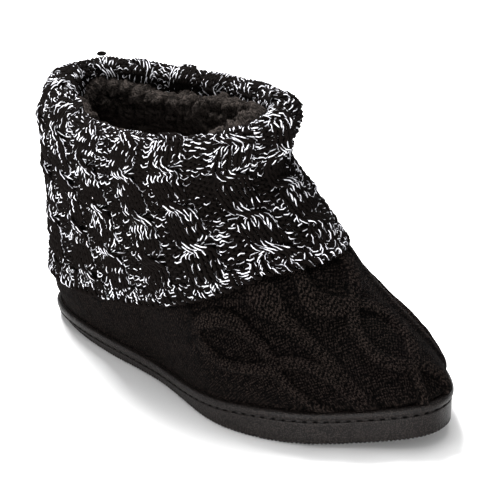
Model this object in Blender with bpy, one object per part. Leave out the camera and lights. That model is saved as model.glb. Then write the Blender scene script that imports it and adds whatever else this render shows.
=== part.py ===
"""Knitted bootie slipper for the right foot: moulded outsole, insole, hollow upper and turned-down cuff.

Metres. +X points to the toe, +Y to the inner side of the foot, +Z up.
Every piece is lofted through rings that go once round the shoe. A ring's turn is 0 at the back of the
heel and half a circle at the toe, and its first half runs along the outer side, at -Y.
"""
import math

import bmesh
import bpy
import numpy as np

# Overall sizes
SOLE_LENGTH = 0.256
BALL_WIDTH = 0.102
COLLAR_HEIGHT = 0.138       # edge of the leg inside the roll of the cuff
INSTEP_HEIGHT = 0.089       # ridge of the vamp where it meets the leg
TOE_SPRING = 0.007

# Outsole
HEEL_WALL = 0.0105
FOREFOOT_WALL = 0.0180
HEEL_TAPER = 0.0030         # how far the wall leans in under the heel
FOREFOOT_TAPER = 0.0005
SOLE_EDGE = 0.0010          # rounded bottom edge
BEAD_HEIGHT = 0.0042
BEAD_BULGE = 0.0007
GROOVE_WIDTH = 0.0012
GROOVE_DEPTH = 0.0012
SOLE_LEDGE = 0.0016         # rounded shoulder from the bead to the flat top
ARCH_RISE = 0.0005
LUG_PITCH = 0.0105
LUG_GAP = 0.0030
LUG_DEPTH = 0.0016
LUG_MARGIN = 0.0090         # plain rim left round the lugs

# Where along the sole its forms lie, as shares of the length from the heel
ARCH_SHARES = (0.26, 0.58)
SPRING_START_SHARE = 0.70
WALL_RISE_SHARES = (0.42, 0.76)     # from the heel's wall height to the forefoot's
TAPER_END_SHARE = 0.32
HEEL_TREAD_SHARES = (0.06, 0.25)
FOREFOOT_TREAD_SHARES = (0.60, 0.93)

# Soft pieces
CLEARANCE = 0.0003
UPPER_WALL = 0.0038
INSOLE_THICKNESS = 0.0045
INSOLE_ROUNDING = 0.0035
CUFF_KNIT = 0.0055          # folded knit lying on the upper
CUFF_PROUD = 0.0022         # how far its hem stands out over the form
HEM_SINK = 0.0026           # how far the hem presses the upper in
ROLL_WIDTH = 0.0220         # soft roll at the top, from its outer to its inner face
ROLL_RISE = 0.0105
INNER_LEG = 0.0100          # knit turned down inside the collar

ROLL_STEPS = 8              # rings round the roll
RING_POINTS = 64
HALF_LENGTH = SOLE_LENGTH / 2
INNER_LEG_LEVEL = 1 - INNER_LEG / (COLLAR_HEIGHT - HEEL_WALL)

# Half widths of the sole as shares of the ball width, before the rounding of heel and toe
#          along  outer  inner
OUTLINE = ((0.00, 0.409, 0.409),
           (0.15, 0.387, 0.412),
           (0.40, 0.400, 0.348),
           (0.65, 0.556, 0.487),
           (0.80, 0.523, 0.540),
           (0.92, 0.414, 0.482),
           (1.00, 0.366, 0.366))
END_ROUNDING = 0.85         # 1 is an ellipse, less is blunter
OVAL_HALF = 0.476           # half width of the leg's plain oval before the form's own shares

# The form of the last, from the sole (level 0) to the collar (level 1). Back and front are shares
# of half the length. Rise is a share of the way from sole to collar at the back. Climb goes from
# the sole to the instep (1) and on to the collar (2) at the front. Widths are shares of ball width.
#        level  back    rise   front  climb  outer  inner
FORM = ((0.00, -0.985, 0.000, 0.986, 0.000, 0.462, 0.462),
        (0.08, -1.012, 0.080, 0.995, 0.055, 0.485, 0.458),
        (0.20, -1.014, 0.205, 0.930, 0.205, 0.480, 0.436),
        (0.35, -1.009, 0.340, 0.787, 0.400, 0.466, 0.417),
        (0.50, -1.000, 0.490, 0.620, 0.645, 0.453, 0.402),
        (0.65, -0.989, 0.645, 0.460, 1.000, 0.448, 0.405),
        (0.78, -0.975, 0.780, 0.310, 1.390, 0.452, 0.410),
        (0.86, -0.965, 0.860, 0.245, 1.620, 0.462, 0.415),
        (0.93, -0.950, 0.930, 0.262, 1.800, 0.476, 0.440),
        (1.00, -0.925, 1.000, 0.280, 2.000, 0.482, 0.465))
OVAL_LEVEL = 0.8            # from here up the rings are plain ovals
FOOT_LEVEL = 0.3            # below this the rings follow the top of the sole
FLAT_AT_FOOT = 0.06         # levels over which the form's outward direction turns level
FLAT_AT_COLLAR = 0.10

# The hem of the cuff, as a level of the form
#      along  outer  inner
HEM = ((0.00, 0.150, 0.150),
       (0.20, 0.182, 0.185),
       (0.40, 0.268, 0.270),
       (0.60, 0.414, 0.414),
       (0.75, 0.505, 0.505),
       (0.88, 0.580, 0.580),
       (1.00, 0.612, 0.612))
HEM_APPROACH = 0.030        # levels over which the upper is pressed in below the hem
KNIT_APPROACH = 0.12        # and above it, to the knit's full thickness
SETTLE_SHARE = 0.6          # share of its stand that the cuff loses above the hem
SETTLE_LEVELS = 0.4

# Soft folds of the leg: turn in half circles, level, reach along and up, and depth (minus is in)
#         turn   level  reach  rise   depth
FOLDS = ((1.02, 0.860, 0.160, 0.070, -0.0040),
         (0.82, 0.780, 0.110, 0.060, -0.0035),
         (0.70, 0.560, 0.150, 0.080, 0.0020))

# Lift of the collar's edge as a share of the roll's rise, by turn in half circles, which starts
# at the rim level
RIM_LEVEL = 0.6
#      turn   lift
RIM = ((0.00, 0.00),
       (0.25, 0.00),
       (0.50, -0.20),
       (0.75, -0.25),
       (1.00, 0.00),
       (1.25, 0.05),
       (1.50, -0.30),
       (1.75, 0.00),
       (2.00, 0.00))

# Width and rise of the roll as shares of its named ones, by turn in half circles: broad at the heel
# and the front, flat and narrow on the outer side behind the middle
#       turn   width rise
ROLL = ((0.00, 0.86, 0.90),
        (0.20, 0.98, 0.86),
        (0.30, 0.86, 0.72),
        (0.40, 0.69, 0.47),
        (0.50, 0.64, 0.42),
        (0.60, 0.64, 0.57),
        (0.70, 0.67, 0.72),
        (0.80, 0.76, 0.86),
        (0.90, 0.86, 0.97),
        (1.00, 0.93, 1.00),
        (1.15, 0.91, 1.00),
        (1.35, 0.86, 0.90),
        (1.52, 0.82, 0.82),
        (1.68, 0.82, 0.65),
        (1.84, 0.82, 0.82),
        (2.00, 0.86, 0.90))

# Rows of the upper below and above the cuff's hem, as shares of the way
BELOW_HEM = (0.0, 0.1, 0.22, 0.36, 0.5, 0.65, 0.8, 0.92, 0.985)
ABOVE_HEM = (0.04, 0.14, 0.3, 0.5, 0.68, 0.84, 1.0)
INNER_LEG_ROWS = (0.5, 1.0)


def smooth(table, at, column):
    """One column of a table, read at a place on a smooth curve through its rows."""
    rows = np.array(table)
    place, value = rows[:, 0], rows[:, column]
    slope = np.gradient(value, place)
    i = np.clip(np.searchsorted(place, at) - 1, 0, len(place) - 2)
    span = place[i + 1] - place[i]
    t = np.clip((at - place[i]) / span, 0, 1)
    ends = value[i] + (value[i + 1] - value[i]) * (3 * t ** 2 - 2 * t ** 3)
    return ends + (t ** 3 - 2 * t ** 2 + t) * span * slope[i] + (t ** 3 - t ** 2) * span * slope[i + 1]


def ease(value):
    """A soft step from 0 to 1."""
    value = np.clip(value, 0, 1)
    return value * value * (3 - 2 * value)


def unit(vectors):
    return vectors / np.linalg.norm(vectors, axis=-1, keepdims=True)


def along(turn):
    """Share of the length, 0 at the heel and 1 at the toe."""
    return (1 - np.cos(turn)) / 2


def on_side(turn, outer, inner):
    """The outer side's value on the first half of a ring, the inner side's on the second."""
    return np.where(np.sin(turn) >= 0, outer, inner)


def bowed(turn, rounding):
    """Sine of the turn, made blunter at heel and toe by a rounding under 1."""
    return np.sign(np.sin(turn)) * np.abs(np.sin(turn)) ** rounding


def half_width(turn):
    """Half the sole's width on this side, as a share of the ball width, before the end rounding."""
    share = along(turn)
    return on_side(turn, smooth(OUTLINE, share, 1), smooth(OUTLINE, share, 2))


def spring(share):
    """Lift of the toe off the floor."""
    return TOE_SPRING * np.clip((share - SPRING_START_SHARE) / (1 - SPRING_START_SHARE), 0, 1) ** 2


def ground(share):
    """Height of the underside: flat at heel and forefoot, a low arch, and the spring of the toe."""
    start, end = ARCH_SHARES
    arch = ARCH_RISE * ease(4 * (share - start) / (end - start)) * ease(4 * (end - share) / (end - start))
    return arch + spring(share)


def feather(share):
    """Height of the top of the sole, where the upper starts."""
    start, end = WALL_RISE_SHARES
    return HEEL_WALL + (FOREFOOT_WALL - HEEL_WALL) * ease((share - start) / (end - start)) + spring(share)


def outline(turn):
    """Outline of the sole in plan: an ellipse whose half widths follow the table."""
    x = HALF_LENGTH * (2 * along(turn) - 1)
    return np.stack([x, -BALL_WIDTH * half_width(turn) * bowed(turn, END_ROUNDING)], -1)


def sole_ring(inset, height):
    """The outline moved inwards by an inset, at the given heights."""
    step = 1e-4
    run = unit(outline(TURN + step) - outline(TURN - step))
    inward = np.stack([-run[:, 1], run[:, 0]], -1)
    flat = outline(TURN) + inward * np.broadcast_to(inset, TURN.shape)[:, None]
    return np.column_stack([flat, np.broadcast_to(height, TURN.shape)])


def plain_form(turn, level):
    """The form before its folds: rings that slide up the heel at the back and up the vamp in front."""
    share = along(turn)
    back, rise, front, climb, outer, inner = (smooth(FORM, level, column) for column in range(1, 7))
    low_back, low_front = feather(0.0), feather(1.0)
    back_z = low_back + rise * (COLLAR_HEIGHT - low_back)
    to_instep = low_front + climb * (INSTEP_HEIGHT - low_front)
    to_collar = INSTEP_HEIGHT + (climb - 1) * (COLLAR_HEIGHT - INSTEP_HEIGHT)
    front_z = np.where(climb < 1, to_instep, to_collar)
    to_sole = feather(share) - low_back - (low_front - low_back) * share
    x = HALF_LENGTH * (back + (front - back) * share)
    z = back_z + (front_z - back_z) * share + to_sole * np.clip(1 - level / FOOT_LEVEL, 0, 1) ** 2
    last, oval = half_width(turn) / OVAL_HALF, ease(level / OVAL_LEVEL)
    half = BALL_WIDTH * on_side(turn, outer, inner) * (last + (1 - last) * oval)
    rounding = END_ROUNDING + (1 - END_ROUNDING) * oval
    return np.stack([x, -half * bowed(turn, rounding), z], -1)


def outward(shape, turn, level):
    """Unit normal of a shape, turned level at its lowest and highest rings."""
    step = 1e-3
    low, high = np.clip(level - step, 0, 1), np.clip(level + step, 0, 1)
    normal = unit(np.cross(shape(turn + step, level) - shape(turn - step, level),
                           shape(turn, high) - shape(turn, low)))
    normal[..., 2] *= ease(level / FLAT_AT_FOOT) * ease((1 - level) / FLAT_AT_COLLAR)
    return unit(normal)


def form(turn, level):
    """The form with the soft folds of the leg and the wavy edge of the collar."""
    depth = np.zeros(turn.shape)
    for fold_turn, fold_level, reach, rise, fold_depth in FOLDS:
        away = np.angle(np.exp(1j * (turn - fold_turn * math.pi))) / (reach * math.pi)
        depth += fold_depth * np.exp(-away ** 2 - ((level - fold_level) / rise) ** 2)
    points = plain_form(turn, level) + outward(plain_form, turn, level) * depth[..., None]
    lift = smooth(RIM, np.mod(turn / math.pi, 2), 1)
    points[..., 2] += ROLL_RISE * lift * ease((level - RIM_LEVEL) / (1 - RIM_LEVEL))
    return points


def skin(turn, level, offset):
    """The form moved outwards by an offset."""
    return form(turn, level) + outward(form, turn, level) * np.broadcast_to(offset, turn.shape)[..., None]


def hem_level(turn):
    share = along(turn)
    return on_side(turn, smooth(HEM, share, 1), smooth(HEM, share, 2))


def sink(turn, level):
    """How far the upper's outer face lies inside the form: not at all on the vamp, a knit's
    thickness under the cuff."""
    past = level - hem_level(turn)
    under_hem = HEM_SINK * ease((past + HEM_APPROACH) / HEM_APPROACH)
    return under_hem + (CUFF_KNIT - HEM_SINK) * ease(past / KNIT_APPROACH)


TURN = np.arange(RING_POINTS) * 2 * math.pi / RING_POINTS


def rows_between(shares, start, end):
    """A row of levels for each share of the way from start to end."""
    return start + (end - start) * np.array(shares)[:, None]


def leg_levels():
    """Levels under the cuff; the last ones are where its inner leg lies."""
    top = np.full(RING_POINTS, 1.0)
    fold = np.full(RING_POINTS, INNER_LEG_LEVEL)
    return np.concatenate([rows_between(ABOVE_HEM, hem_level(TURN), fold),
                           rows_between(INNER_LEG_ROWS, fold, top)])


def outsole_rings():
    """Rounded bottom edge, leaning wall, groove, bead and flat top, as insets and heights."""
    share = along(TURN)
    low, top = ground(share), feather(share)
    taper = FOREFOOT_TAPER + (HEEL_TAPER - FOREFOOT_TAPER) * ease(1 - share / TAPER_END_SHARE)
    shelf = top - BEAD_HEIGHT
    profile = ((taper + SOLE_EDGE, low),
               (taper + 0.3 * SOLE_EDGE, low + 0.3 * SOLE_EDGE),
               (taper, low + SOLE_EDGE),
               (0.35 * taper, low + 0.6 * (shelf - GROOVE_WIDTH - low)),
               (0 * taper, shelf - GROOVE_WIDTH),
               (GROOVE_DEPTH, shelf - 0.75 * GROOVE_WIDTH),
               (GROOVE_DEPTH, shelf - 0.25 * GROOVE_WIDTH),
               (0 * taper, shelf),
               (-BEAD_BULGE, shelf + 0.35 * BEAD_HEIGHT),
               (-BEAD_BULGE, shelf + 0.65 * BEAD_HEIGHT),
               (0.35 * SOLE_LEDGE, shelf + 0.92 * BEAD_HEIGHT),
               (SOLE_LEDGE, top))
    return np.array([sole_ring(inset, height) for inset, height in profile])


def insole_rings():
    """A sheet inside the upper's foot, with a rounded upper edge."""
    inner = skin(TURN, np.zeros(RING_POINTS), -UPPER_WALL - CLEARANCE)
    inward = -outward(form, TURN, np.zeros(RING_POINTS))
    base = feather(along(TURN)) + CLEARANCE
    profile = ((0.0, 0.0), (0.25, 0.5), (1.0, 1.0))
    rings = []
    for rounding, height in profile:
        ring = inner + inward * rounding * INSOLE_ROUNDING
        ring[:, 2] = base + height * INSOLE_THICKNESS
        rings.append(ring)
    return np.array(rings)


def upper_rings():
    """The upper's section: its outer face upwards, then its inner face downwards."""
    hem = hem_level(TURN)
    level = np.concatenate([rows_between(BELOW_HEM, 0 * hem, hem), leg_levels()])
    turn = np.broadcast_to(TURN, level.shape)
    depth = sink(turn, level)
    outer = skin(turn, level, -depth)
    inner = skin(turn, level, -depth - UPPER_WALL)
    for face in (outer, inner):
        face[0, :, 2] = feather(along(TURN)) + CLEARANCE
    return np.concatenate([outer, inner[::-1]])


def cuff_rings():
    """The cuff's section: outer leg up, over the roll, down the inner leg, and back over the upper."""
    hem = hem_level(TURN)
    level = np.concatenate([[hem], leg_levels()])
    turn = np.broadcast_to(TURN, level.shape)
    proud = CUFF_PROUD * (1 - SETTLE_SHARE * ease((level - hem) / SETTLE_LEVELS))
    outer_leg = skin(turn, level, proud)
    edge, level_out = form(TURN, level[-1]), outward(form, TURN, level[-1])
    width = ROLL_WIDTH * smooth(ROLL, TURN / math.pi, 1)
    rise = ROLL_RISE * smooth(ROLL, TURN / math.pi, 2)
    roll = []
    for angle in math.pi * np.arange(1, ROLL_STEPS + 1) / ROLL_STEPS:
        out = proud[-1] - width * (1 - math.cos(angle)) / 2
        ring = edge + level_out * out[:, None]
        ring[:, 2] += rise * math.sin(angle)
        roll.append(ring)
    inner_leg = [roll[-1] - (0, 0, drop * INNER_LEG) for drop in (0.5, 0.95)]
    outside = skin(turn, level, CLEARANCE - sink(turn, level))
    inside_level, inside_turn = level[-1 - len(INNER_LEG_ROWS):], turn[-1 - len(INNER_LEG_ROWS):]
    inside = skin(inside_turn, inside_level, -CUFF_KNIT - UPPER_WALL - CLEARANCE)
    for face in (outside, inside):
        face[-1, :, 2] += CLEARANCE
    return np.concatenate([outer_leg, roll, inner_leg, inside, outside[::-1]])


def lug_grooves(centre):
    """Boxes that cut the tread bars into the heel and forefoot of the underside."""
    bm = bmesh.new()
    count = int(SOLE_LENGTH / LUG_PITCH)
    for i in range(count):
        share = (i + 0.5) * LUG_PITCH / SOLE_LENGTH
        if not any(start < share < end for start, end in (HEEL_TREAD_SHARES, FOREFOOT_TREAD_SHARES)):
            continue
        x = HALF_LENGTH * (2 * share - 1)
        turn = math.acos(1 - 2 * share)
        outer, inner = outline(np.array([turn, -turn]))[:, 1] + np.array([LUG_MARGIN, -LUG_MARGIN])
        roof = float(ground(share)) + LUG_DEPTH
        box = bmesh.ops.create_cube(bm, size=1)["verts"]
        bmesh.ops.scale(bm, verts=box, vec=(LUG_GAP, inner - outer, 2 * roof))
        bmesh.ops.translate(bm, verts=box, vec=(x - centre[0], (inner + outer) / 2 - centre[1], 0))
    return object_of("lug_grooves", bm)


def loft(name, rings, closed_section):
    """Quads between rings. An open section is capped by strips straight across the shoe."""
    rows, points = rings.shape[:2]
    bm = bmesh.new()
    grid = [[bm.verts.new(point) for point in ring] for ring in rings.tolist()]
    for row in range(rows if closed_section else rows - 1):
        low, high = grid[row], grid[(row + 1) % rows]
        for j in range(points):
            k = (j + 1) % points
            bm.faces.new((low[j], low[k], high[k], high[j]))
    if not closed_section:
        for ring in (grid[0], grid[-1]):
            for j in range(points // 2):
                corners = (ring[j], ring[j + 1], ring[points - j - 1], ring[-j])
                bm.faces.new(dict.fromkeys(corners))
    bmesh.ops.recalc_face_normals(bm, faces=bm.faces)
    return object_of(name, bm)


def object_of(name, bm):
    mesh = bpy.data.meshes.new(name)
    bm.to_mesh(mesh)
    bm.free()
    mesh.shade_smooth()
    mesh.set_sharp_from_angle(angle=math.radians(35))
    made = bpy.data.objects.new(name, mesh)
    bpy.context.scene.collection.objects.link(made)
    return made


def finish(made, colour, roughness):
    """Give a piece its plain material."""
    material = bpy.data.materials.new(made.name)
    material.use_nodes = True
    shader = material.node_tree.nodes["Principled BSDF"]
    shader.inputs["Base Color"].default_value = (*colour, 1)
    shader.inputs["Roughness"].default_value = roughness
    shader.inputs["Metallic"].default_value = 0
    made.data.materials.append(material)


def main():
    for old in list(bpy.data.objects):
        bpy.data.objects.remove(old, do_unlink=True)
    rings = {"outsole": outsole_rings(), "insole": insole_rings(),
             "upper": upper_rings(), "cuff": cuff_rings()}
    points = np.concatenate([ring.reshape(-1, 3) for ring in rings.values()])
    # The origin stands on the floor under the middle of the whole shoe
    centre = (points.min(axis=0) + points.max(axis=0)) / 2 * (1, 1, 0)
    made = {name: loft(name, ring - centre, name in ("upper", "cuff")) for name, ring in rings.items()}
    grooves = lug_grooves(centre)
    grooves.hide_render = True
    grooves.display_type = 'WIRE'
    tread = made["outsole"].modifiers.new("tread", 'BOOLEAN')
    tread.operation = 'DIFFERENCE'
    tread.solver = 'EXACT'
    tread.object = grooves
    finish(made["outsole"], (0.030, 0.029, 0.030), 0.55)
    finish(made["insole"], (0.016, 0.015, 0.015), 0.95)
    finish(made["upper"], (0.012, 0.011, 0.011), 0.95)
    finish(made["cuff"], (0.130, 0.128, 0.140), 0.90)


main()
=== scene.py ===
"""Looks of the knitted bootie slipper: marled cuff, black cable-knit vamp, curly pile, moulded sole.

Metres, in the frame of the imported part: +X to the toe, +Y to the inner side of the foot, +Z up.
Every surface is a function of two parameters: the turn round the shoe, which is 0 at the back of
the heel and half a circle at the toe, and a level or a distance up the shoe.
"""
import math

import bpy
import numpy as np
from mathutils import Matrix, Vector


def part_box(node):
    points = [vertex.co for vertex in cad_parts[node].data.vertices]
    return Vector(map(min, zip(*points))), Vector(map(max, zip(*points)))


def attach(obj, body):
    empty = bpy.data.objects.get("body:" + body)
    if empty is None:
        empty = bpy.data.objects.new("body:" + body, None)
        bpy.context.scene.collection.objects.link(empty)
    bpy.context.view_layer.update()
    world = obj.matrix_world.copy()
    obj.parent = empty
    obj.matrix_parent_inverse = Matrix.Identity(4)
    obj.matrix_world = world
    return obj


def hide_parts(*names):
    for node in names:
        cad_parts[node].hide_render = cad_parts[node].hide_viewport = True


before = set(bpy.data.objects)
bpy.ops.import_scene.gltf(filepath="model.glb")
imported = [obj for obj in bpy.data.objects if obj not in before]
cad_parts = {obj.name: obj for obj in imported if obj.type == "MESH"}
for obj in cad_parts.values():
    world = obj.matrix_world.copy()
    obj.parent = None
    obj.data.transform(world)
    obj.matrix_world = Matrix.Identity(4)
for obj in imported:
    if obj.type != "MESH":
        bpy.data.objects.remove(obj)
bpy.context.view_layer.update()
TAU = 2 * math.pi
MM = 0.001

# Sizes of the shoe
SOLE_LENGTH = 0.256
BALL_WIDTH = 0.102
COLLAR_HEIGHT = 0.138
INSTEP_HEIGHT = 0.089
TOE_SPRING = 0.007
HALF_LENGTH = SOLE_LENGTH / 2

# Outsole
HEEL_WALL = 0.0105
FOREFOOT_WALL = 0.0180
HEEL_TAPER = 0.0030
FOREFOOT_TAPER = 0.0005
SOLE_EDGE = 0.0010
BEAD_HEIGHT = 0.0042
BEAD_BULGE = 0.0007
GROOVE_WIDTH = 0.0012
GROOVE_DEPTH = 0.0012
SOLE_LEDGE = 0.0016
ARCH_RISE = 0.0005
LUG_PITCH = 0.0105
LUG_GAP = 0.0030
LUG_DEPTH = 0.0016
LUG_MARGIN = 0.0090
ARCH_SHARES = (0.26, 0.58)
SPRING_START_SHARE = 0.70
WALL_RISE_SHARES = (0.42, 0.76)
TAPER_END_SHARE = 0.32
HEEL_TREAD_SHARES = (0.06, 0.25)
FOREFOOT_TREAD_SHARES = (0.60, 0.93)

# Soft pieces
CLEARANCE = 0.0003
UPPER_WALL = 0.0038
INSOLE_THICKNESS = 0.0045
CUFF_KNIT = 0.0055
CUFF_PROUD = 0.0022
HEM_SINK = 0.0026
ROLL_WIDTH = 0.0220
ROLL_RISE = 0.0105
INNER_LEG = 0.0100

# Half widths of the sole as shares of the ball width
#          along  outer  inner
OUTLINE = ((0.00, 0.409, 0.409),
           (0.15, 0.387, 0.412),
           (0.40, 0.400, 0.348),
           (0.65, 0.556, 0.487),
           (0.80, 0.523, 0.540),
           (0.92, 0.414, 0.482),
           (1.00, 0.366, 0.366))
END_ROUNDING = 0.85
OVAL_HALF = 0.476

# The form of the last: back and front as shares of half the length, rise and climb between sole,
# instep and collar, and half widths as shares of the ball width
#        level  back    rise   front  climb  outer  inner
FORM = ((0.00, -0.985, 0.000, 0.986, 0.000, 0.462, 0.462),
        (0.08, -1.012, 0.080, 0.995, 0.055, 0.485, 0.458),
        (0.20, -1.014, 0.205, 0.930, 0.205, 0.480, 0.436),
        (0.35, -1.009, 0.340, 0.787, 0.400, 0.466, 0.417),
        (0.50, -1.000, 0.490, 0.620, 0.645, 0.453, 0.402),
        (0.65, -0.989, 0.645, 0.460, 1.000, 0.448, 0.405),
        (0.78, -0.975, 0.780, 0.310, 1.390, 0.452, 0.410),
        (0.86, -0.965, 0.860, 0.245, 1.620, 0.462, 0.415),
        (0.93, -0.950, 0.930, 0.262, 1.800, 0.476, 0.440),
        (1.00, -0.925, 1.000, 0.280, 2.000, 0.482, 0.465))
OVAL_LEVEL = 0.8
FOOT_LEVEL = 0.3
FLAT_AT_FOOT = 0.06
FLAT_AT_COLLAR = 0.10

# The hem of the cuff, as a level of the form
#      along  outer  inner
HEM = ((0.00, 0.150, 0.150),
       (0.20, 0.182, 0.185),
       (0.40, 0.268, 0.270),
       (0.60, 0.414, 0.414),
       (0.75, 0.505, 0.505),
       (0.88, 0.580, 0.580),
       (1.00, 0.612, 0.612))
HEM_APPROACH = 0.030
KNIT_APPROACH = 0.12
SETTLE_SHARE = 0.6
SETTLE_LEVELS = 0.4

# Soft folds of the leg: turn in half circles, level, reach along and up, and depth
#         turn   level  reach  rise   depth
FOLDS = ((1.02, 0.860, 0.160, 0.070, -0.0040),
         (0.82, 0.780, 0.110, 0.060, -0.0035),
         (0.70, 0.560, 0.150, 0.080, 0.0020))

# Lift of the collar's edge, by turn in half circles
RIM_LEVEL = 0.6
#      turn   lift
RIM = ((0.00, 0.00),
       (0.25, 0.00),
       (0.50, -0.20),
       (0.75, -0.25),
       (1.00, 0.00),
       (1.25, 0.05),
       (1.50, -0.30),
       (1.75, 0.00),
       (2.00, 0.00))

# Width and rise of the roll as shares of its named ones, by turn in half circles: broad at the heel
# and the front, flat and narrow on the outer side behind the middle
#       turn   width rise
ROLL = ((0.00, 0.86, 0.90),
        (0.20, 0.98, 0.86),
        (0.30, 0.86, 0.72),
        (0.40, 0.69, 0.47),
        (0.50, 0.64, 0.42),
        (0.60, 0.64, 0.57),
        (0.70, 0.67, 0.72),
        (0.80, 0.76, 0.86),
        (0.90, 0.86, 0.97),
        (1.00, 0.93, 1.00),
        (1.15, 0.91, 1.00),
        (1.35, 0.86, 0.90),
        (1.52, 0.82, 0.82),
        (1.68, 0.82, 0.65),
        (1.84, 0.82, 0.82),
        (2.00, 0.86, 0.90))

# The cuff's knitting: panels of two rope cables with purl columns between them
PANELS = 7
PANEL_STITCHES = 13
CABLE_STARTS = (0, 6)         # first column of each cable in a panel
CABLE_COLUMNS = 4
CABLE_PERIOD = 7              # rows from one crossing to the next
#           first  second cable's crossing row, for the panels in turn
CROSSINGS = ((0.0, 1.0),
             (4.0, 6.0),
             (1.5, 3.0),
             (5.0, 0.5),
             (2.5, 4.5),
             (6.0, 2.0),
             (3.5, 1.0))
STITCHES = PANELS * PANEL_STITCHES
COURSES = 38
RIB_COURSES = 4
RIB_PITCH = 0.55              # height of a course in the rib, in rows
ROWS = COURSES - RIB_COURSES * (1 - RIB_PITCH)
CHART_TURN, CHART_COLUMN = 2.05, 8.0    # this turn round the shoe has this column of a panel
YARN_END = (5.80, 29.0)       # turn and row of a loose loop of yarn on the roll
STITCH_STEPS = 12
YARN_SIDES = 6
YARN_RADIUS = 0.00096


def smooth(table, at, column):
    """One column of a table, read at a place on a smooth curve through its rows."""
    rows = np.array(table)
    place, value = rows[:, 0], rows[:, column]
    slope = np.gradient(value, place)
    i = np.clip(np.searchsorted(place, at) - 1, 0, len(place) - 2)
    span = place[i + 1] - place[i]
    t = np.clip((at - place[i]) / span, 0, 1)
    ends = value[i] + (value[i + 1] - value[i]) * (3 * t ** 2 - 2 * t ** 3)
    return ends + (t ** 3 - 2 * t ** 2 + t) * span * slope[i] + (t ** 3 - t ** 2) * span * slope[i + 1]


def ease(value):
    """A soft step from 0 to 1."""
    value = np.clip(value, 0, 1)
    return value * value * (3 - 2 * value)


def unit(vectors):
    """The vectors made one long."""
    return vectors / np.maximum(np.linalg.norm(vectors, axis=-1, keepdims=True), 1e-12)


def along(turn):
    """Share of the length, 0 at the heel and 1 at the toe."""
    return (1 - np.cos(turn)) / 2


def on_side(turn, outer, inner):
    """The outer value on the outer side of the shoe, the inner one on the inner side."""
    return np.where(np.sin(turn) >= 0, outer, inner)


def bowed(turn, rounding):
    """Sine of the turn, made blunter at heel and toe by a rounding under 1."""
    return np.sign(np.sin(turn)) * np.abs(np.sin(turn)) ** rounding


def half_width(turn):
    """Half width of the sole as a share of the ball width."""
    share = along(turn)
    return on_side(turn, smooth(OUTLINE, share, 1), smooth(OUTLINE, share, 2))


def spring(share):
    """Rise of the toe off the floor: the square of the way from where it starts to the tip."""
    return TOE_SPRING * np.clip((share - SPRING_START_SHARE) / (1 - SPRING_START_SHARE), 0, 1) ** 2


def ground(share):
    """Height of the underside: flat at heel and forefoot, a low arch, and the spring of the toe."""
    start, end = ARCH_SHARES
    arch = ARCH_RISE * ease(4 * (share - start) / (end - start)) * ease(4 * (end - share) / (end - start))
    return arch + spring(share)


def feather(share):
    """Height of the top of the sole, where the upper starts."""
    start, end = WALL_RISE_SHARES
    return HEEL_WALL + (FOREFOOT_WALL - HEEL_WALL) * ease((share - start) / (end - start)) + spring(share)


def outline(turn):
    """Outline of the sole in plan: an ellipse whose half widths follow the table."""
    x = HALF_LENGTH * (2 * along(turn) - 1)
    return np.stack([x, -BALL_WIDTH * half_width(turn) * bowed(turn, END_ROUNDING)], -1)


def plain_form(turn, level):
    """The form before its folds: rings that slide up the heel at the back and up the vamp in front."""
    share = along(turn)
    back, rise, front, climb, outer, inner = (smooth(FORM, level, column) for column in range(1, 7))
    low_back, low_front = feather(0.0), feather(1.0)
    back_z = low_back + rise * (COLLAR_HEIGHT - low_back)
    to_instep = low_front + climb * (INSTEP_HEIGHT - low_front)
    to_collar = INSTEP_HEIGHT + (climb - 1) * (COLLAR_HEIGHT - INSTEP_HEIGHT)
    front_z = np.where(climb < 1, to_instep, to_collar)
    to_sole = feather(share) - low_back - (low_front - low_back) * share
    x = HALF_LENGTH * (back + (front - back) * share)
    z = back_z + (front_z - back_z) * share + to_sole * np.clip(1 - level / FOOT_LEVEL, 0, 1) ** 2
    last, oval = half_width(turn) / OVAL_HALF, ease(level / OVAL_LEVEL)
    half = BALL_WIDTH * on_side(turn, outer, inner) * (last + (1 - last) * oval)
    rounding = END_ROUNDING + (1 - END_ROUNDING) * oval
    return np.stack([x, -half * bowed(turn, rounding), z], -1)


def outward(shape, turn, level):
    """Unit normal of a shape, turned level at its lowest and highest rings."""
    step = 1e-3
    low, high = np.clip(level - step, 0, 1), np.clip(level + step, 0, 1)
    normal = unit(np.cross(shape(turn + step, level) - shape(turn - step, level),
                           shape(turn, high) - shape(turn, low)))
    normal[..., 2] *= ease(level / FLAT_AT_FOOT) * ease((1 - level) / FLAT_AT_COLLAR)
    return unit(normal)


def form(turn, level):
    """The form with the soft folds of the leg and the wavy edge of the collar."""
    depth = np.zeros(turn.shape)
    for fold_turn, fold_level, reach, rise, fold_depth in FOLDS:
        away = np.angle(np.exp(1j * (turn - fold_turn * math.pi))) / (reach * math.pi)
        depth += fold_depth * np.exp(-away ** 2 - ((level - fold_level) / rise) ** 2)
    points = plain_form(turn, level) + outward(plain_form, turn, level) * depth[..., None]
    lift = smooth(RIM, np.mod(turn / math.pi, 2), 1)
    points[..., 2] += ROLL_RISE * lift * ease((level - RIM_LEVEL) / (1 - RIM_LEVEL))
    return points


def skin(turn, level, offset):
    """The form moved outwards by an offset."""
    return form(turn, level) + outward(form, turn, level) * np.broadcast_to(offset, turn.shape)[..., None]


def hem_level(turn):
    """Level of the form at which the cuff's hem lies."""
    share = along(turn)
    return on_side(turn, smooth(HEM, share, 1), smooth(HEM, share, 2))


def sink(turn, level):
    """How far the upper's outer face lies inside the form: not at all on the vamp, a knit's
    thickness under the cuff."""
    past = level - hem_level(turn)
    under_hem = HEM_SINK * ease((past + HEM_APPROACH) / HEM_APPROACH)
    return under_hem + (CUFF_KNIT - HEM_SINK) * ease(past / KNIT_APPROACH)


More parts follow.
